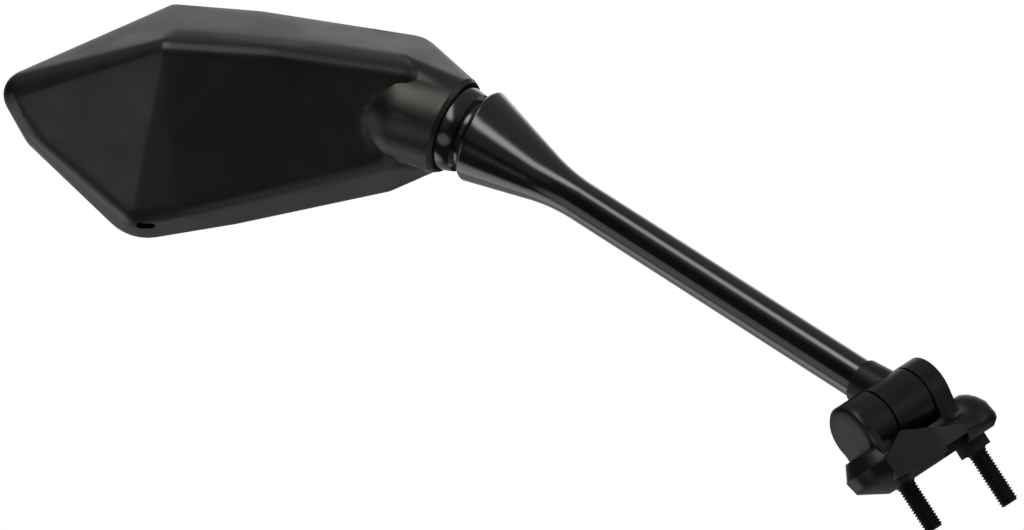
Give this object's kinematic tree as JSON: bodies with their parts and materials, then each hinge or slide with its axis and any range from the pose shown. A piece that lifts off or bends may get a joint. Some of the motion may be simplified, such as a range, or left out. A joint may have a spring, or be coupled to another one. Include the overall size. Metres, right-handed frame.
{
  "type": "motorcycle mirror",
  "caption": "Angular handlebar-style mirror for a motorbike: a faceted head on a ball swivel, a flared arm that folds, and a cast base with threaded studs.",
  "frame": {"origin": "on the mounting face, midway between the two studs", "axes": "+X from the left stud to the right stud, +Z away from the surface the base is bolted to, +Y to the side the arm leans to at rest"},
  "size_m": [0.142, 0.1942, 0.2859],
  "materials": {
    "cast_black": "satin",
    "gloss_black": "gloss",
    "black_steel": "gloss",
    "bare_steel": "satin",
    "nylon": "matt",
    "moulded_black": "satin",
    "holder_plastic": "matt",
    "rubber": "matt",
    "foam": "matt",
    "mirror_glass": "gloss"
  },
  "bodies": {
    "base": {"base_casting": "cast_black", "base_pad": "rubber", "stud_left": "black_steel", "stud_right": "black_steel", "stud_collar": "rubber", "fold_pin": "bare_steel", "fold_spring": "bare_steel"},
    "arm": {"bush_left": "nylon", "bush_right": "nylon", "arm_knuckle": "cast_black", "arm_cross_pin": "bare_steel", "arm": "gloss_black", "swivel_ball": "gloss_black", "swivel_bolt": "bare_steel", "spring_cap": "bare_steel", "disc_springs": "bare_steel", "bolt_washer": "bare_steel"},
    "ball_seat": {"ball_seat": "nylon"},
    "cap_seat": {"cap_seat": "nylon"},
    "head": {"head_housing": "moulded_black", "glass_seal": "rubber", "glass_holder": "holder_plastic", "holder_screws": "bare_steel", "foam_pad": "foam", "mirror_glass": "mirror_glass"}
  },
  "joints": [
    {"name": "fold", "type": "hinge", "parent": "base", "child": "arm", "pos_m": [-0.002, 0, 0.0206], "axis": [1, 0, 0], "range_deg": [-45, 105]},
    {"name": "head_turn", "type": "hinge", "parent": "arm", "child": "ball_seat", "pos_m": [-0.01929, 0.10575, 0.17068], "axis": [-0.3105, 0.4953, 0.8113], "continuous": true},
    {"name": "head_pan", "type": "hinge", "parent": "ball_seat", "child": "cap_seat", "pos_m": [-0.01929, 0.10575, 0.17068], "axis": [0.9506, 0.1671, 0.2617], "range_deg": [-10, 10]},
    {"name": "head_tilt", "type": "hinge", "parent": "cap_seat", "child": "head", "pos_m": [-0.01929, 0.10575, 0.17068], "axis": [-0.006, 0.8525, -0.5227], "range_deg": [-10, 10]}
  ]
}
